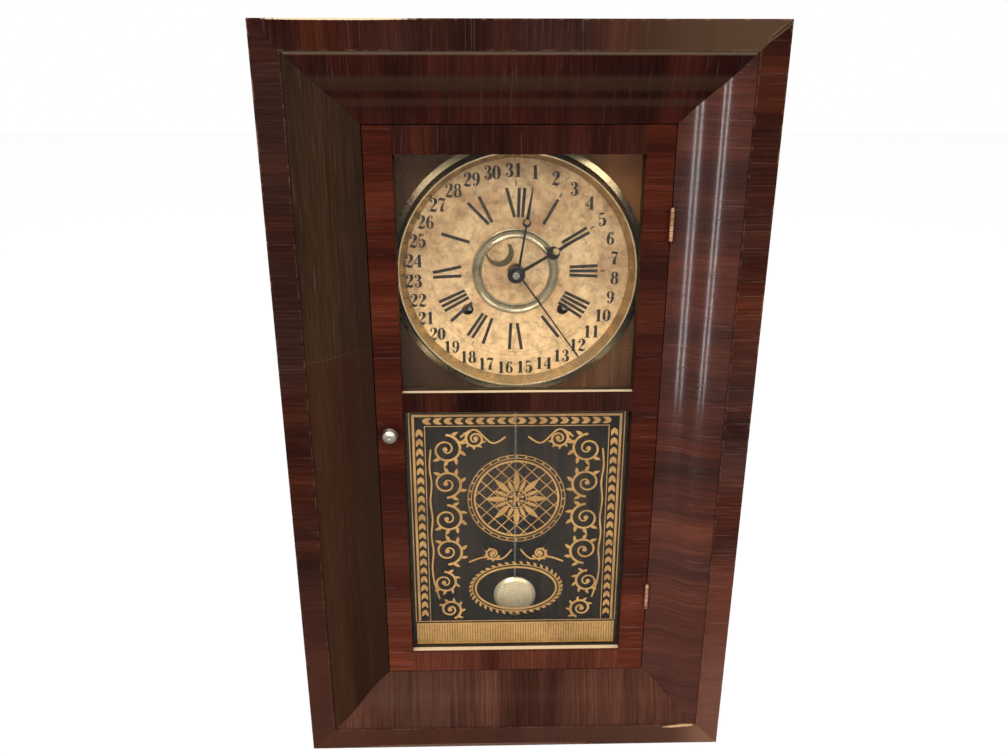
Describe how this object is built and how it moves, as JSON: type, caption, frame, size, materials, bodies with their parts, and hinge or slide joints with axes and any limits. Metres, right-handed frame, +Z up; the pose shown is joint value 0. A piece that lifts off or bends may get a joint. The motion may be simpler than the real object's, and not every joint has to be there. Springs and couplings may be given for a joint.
{
  "type": "calendar wall clock",
  "caption": "Pendulum wall clock in an ogee-moulded veneered case, with a glazed door over a round dial whose third hand shows the day of the month.",
  "frame": {"origin": "middle of the base, halfway through the case's depth", "axes": "+X to the viewer's right, +Y from the front into the clock, +Z up"},
  "size_m": [0.3938, 0.1142, 0.6604],
  "materials": {
    "case_wood": "old mahogany veneer, satin",
    "plain_wood": "bare pine, aged",
    "band_veneer": "cross-banded mahogany veneer, satin",
    "ogee_veneer": "cross-banded mahogany veneer, polished",
    "door_veneer": "mahogany veneer, satin",
    "board_veneer": "mahogany veneer, faded",
    "dial_paint": "aged cream paint on sheet metal",
    "bezel_brass": "pressed sheet brass, tarnished",
    "clear_glass": "old sheet glass",
    "tablet_glass": "old sheet glass, printed on its back",
    "hinge_brass": "coppery brass",
    "knob_metal": "worn plated metal",
    "steel": "plain steel",
    "blued_steel": "dark blued steel",
    "hand_brass": "worn brass",
    "brass": "old rolled brass",
    "bob_brass": "polished brass",
    "iron": "black japanned iron"
  },
  "bodies": {
    "case": {"side_board_left": "case_wood", "side_board_right": "case_wood", "top_board": "case_wood", "bottom_board": "case_wood", "back_board": "plain_wood", "flat_mouldings": "band_veneer", "ogee_left": "ogee_veneer", "ogee_right": "ogee_veneer", "ogee_top": "ogee_veneer", "ogee_bottom": "ogee_veneer", "cheek_left": "plain_wood", "cheek_right": "plain_wood", "dial_board": "board_veneer", "dial_plate": "dial_paint", "bezel": "bezel_brass", "front_plate": "brass", "back_plate": "brass", "plate_pillars": "steel", "hinge_case_leaves": "hinge_brass", "hinge_pins": "hinge_brass", "gong_stand": "iron", "gong_coil": "steel", "mainsprings": "steel"},
    "door": {"door_stile_left": "door_veneer", "door_stile_right": "door_veneer", "door_rail_top": "door_veneer", "door_rail_middle": "door_veneer", "door_rail_bottom": "door_veneer", "upper_glass": "clear_glass", "tablet_glass": "tablet_glass", "glazing_strips": "plain_wood", "hinge_door_leaves": "hinge_brass"},
    "knob": {"door_knob": "knob_metal", "door_catch": "steel"},
    "minute_set": {"centre_arbor": "steel", "minute_hand": "blued_steel", "hand_nut": "hand_brass"},
    "hour_set": {"hour_wheel": "brass", "hour_hand": "blued_steel"},
    "minute_wheel_set": {"minute_wheel": "brass"},
    "calendar_set": {"calendar_wheel": "brass", "calendar_hand": "blued_steel"},
    "calendar_driver_set": {"calendar_driver": "brass"},
    "pendulum": {"pendulum_rod": "steel"},
    "bob": {"pendulum_bob": "bob_brass"},
    "bob_nut": {"rating_nut": "hand_brass"},
    "verge_set": {"verge": "steel"},
    "time_winding": {"time_winding_arbor": "steel"},
    "time_great": {"time_great_wheel": "brass"},
    "time_second": {"time_second_wheel": "brass"},
    "centre_drive": {"centre_wheel": "brass"},
    "time_third": {"time_third_wheel": "brass"},
    "time_fourth": {"time_fourth_wheel": "brass"},
    "escape": {"escape_wheel": "brass"},
    "strike_winding": {"strike_winding_arbor": "steel"},
    "strike_great": {"strike_great_wheel": "brass"},
    "strike_second": {"strike_second_wheel": "brass"},
    "strike_third": {"strike_third_wheel": "brass"},
    "strike_fly": {"fly": "steel"},
    "hammer": {"strike_hammer": "steel"}
  },
  "joints": [
    {"name": "door_open", "type": "hinge", "parent": "case", "child": "door", "pos_m": [0.12175, -0.04045, 0.33], "axis": [0, 0, 1], "range_deg": [0, 140]},
    {"name": "knob_turn", "type": "hinge", "parent": "door", "child": "knob", "pos_m": [-0.1101, -0.03, 0.3274], "axis": [0, 1, 0], "range_deg": [-90, 0]},
    {"name": "minute_turn", "type": "hinge", "parent": "case", "child": "minute_set", "pos_m": [0, 0, 0.4625], "axis": [0, 1, 0], "continuous": true},
    {"name": "minute_wheel_turn", "type": "hinge", "parent": "case", "child": "minute_wheel_set", "pos_m": [-0.01773, 0, 0.45937], "axis": [0, 1, 0], "continuous": true},
    {"name": "hour_turn", "type": "hinge", "parent": "case", "child": "hour_set", "pos_m": [0, 0, 0.4625], "axis": [0, 1, 0], "continuous": true},
    {"name": "calendar_driver_turn", "type": "hinge", "parent": "case", "child": "calendar_driver_set", "pos_m": [0, 0, 0.4865], "axis": [0, 1, 0], "continuous": true},
    {"name": "calendar_turn", "type": "hinge", "parent": "case", "child": "calendar_set", "pos_m": [0, 0, 0.4625], "axis": [0, 1, 0], "continuous": true},
    {"name": "pendulum_swing", "type": "hinge", "parent": "case", "child": "pendulum", "pos_m": [0, 0.0035, 0.419], "axis": [0, 1, 0], "range_deg": [-4, 4]},
    {"name": "verge_rock", "type": "hinge", "parent": "case", "child": "verge_set", "pos_m": [0, 0, 0.4125], "axis": [0, 1, 0], "range_deg": [-5.2, 5.2]},
    {"name": "bob_height", "type": "slide", "parent": "pendulum", "child": "bob", "axis": [0, 0, 1], "range_m": [-0.00175, 0.00175]},
    {"name": "rating_nut_turn", "type": "hinge", "parent": "bob", "child": "bob_nut", "pos_m": [0, 0.0035, 0.109], "axis": [0, 0, 1], "range_deg": [-905, 905]},
    {"name": "time_winding_turn", "type": "hinge", "parent": "case", "child": "time_winding", "pos_m": [0.0408, 0, 0.4291], "axis": [0, 1, 0], "continuous": true},
    {"name": "time_third_turn", "type": "hinge", "parent": "case", "child": "time_third", "pos_m": [0.01176, 0, 0.41663], "axis": [0, 1, 0], "continuous": true},
    {"name": "time_great_turn", "type": "hinge", "parent": "case", "child": "time_great", "pos_m": [0.0408, 0, 0.4291], "axis": [0, 1, 0], "continuous": true},
    {"name": "time_second_turn", "type": "hinge", "parent": "case", "child": "time_second", "pos_m": [0.01353, 0, 0.43685], "axis": [0, 1, 0], "continuous": true},
    {"name": "centre_wheel_turn", "type": "hinge", "parent": "case", "child": "centre_drive", "pos_m": [0, 0, 0.4625], "axis": [0, 1, 0], "continuous": true},
    {"name": "time_fourth_turn", "type": "hinge", "parent": "case", "child": "time_fourth", "pos_m": [0.01127, 0, 0.40164], "axis": [0, 1, 0], "continuous": true},
    {"name": "escape_turn", "type": "hinge", "parent": "case", "child": "escape", "pos_m": [0, 0, 0.3975], "axis": [0, 1, 0], "continuous": true},
    {"name": "strike_winding_turn", "type": "hinge", "parent": "case", "child": "strike_winding", "pos_m": [-0.0408, 0, 0.4291], "axis": [0, 1, 0], "continuous": true},
    {"name": "strike_third_turn", "type": "hinge", "parent": "case", "child": "strike_third", "pos_m": [-0.01063, 0, 0.43191], "axis": [0, 1, 0], "continuous": true},
    {"name": "strike_great_turn", "type": "hinge", "parent": "case", "child": "strike_great", "pos_m": [-0.0408, 0, 0.4291], "axis": [0, 1, 0], "continuous": true},
    {"name": "strike_second_turn", "type": "hinge", "parent": "case", "child": "strike_second", "pos_m": [-0.01758, 0, 0.41284], "axis": [0, 1, 0], "continuous": true},
    {"name": "fly_turn", "type": "hinge", "parent": "case", "child": "strike_fly", "pos_m": [-0.01307, 0, 0.4457], "axis": [0, 1, 0], "continuous": true},
    {"name": "hammer_lift", "type": "hinge", "parent": "case", "child": "hammer", "pos_m": [-0.024, 0, 0.3925], "axis": [0, 1, 0], "range_deg": [-8, 0], "stiffness_Nm_per_rad": 0.02, "springref_deg": 5.73}
  ],
  "couplings": [
    {"joint": "minute_wheel_turn", "follows": "minute_turn", "ratio": -0.33333},
    {"joint": "hour_turn", "follows": "minute_turn", "ratio": 0.083333},
    {"joint": "calendar_driver_turn", "follows": "minute_turn", "ratio": -0.041667},
    {"joint": "calendar_turn", "follows": "minute_turn", "ratio": 0.0013441},
    {"joint": "verge_rock", "follows": "pendulum_swing", "ratio": 1.2708},
    {"joint": "rating_nut_turn", "follows": "bob_height", "rad_per_m": 8976},
    {"joint": "time_second_turn", "follows": "time_third_turn", "ratio": -0.16667},
    {"joint": "time_great_turn", "follows": "time_third_turn", "ratio": 0.020833},
    {"joint": "centre_wheel_turn", "follows": "time_third_turn", "ratio": 0.25},
    {"joint": "time_fourth_turn", "follows": "time_third_turn", "ratio": -5},
    {"joint": "escape_turn", "follows": "time_third_turn", "ratio": 26.25},
    {"joint": "strike_second_turn", "follows": "strike_third_turn", "ratio": -0.16667},
    {"joint": "strike_great_turn", "follows": "strike_third_turn", "ratio": 0.020833},
    {"joint": "fly_turn", "follows": "strike_third_turn", "ratio": -6}
  ]
}
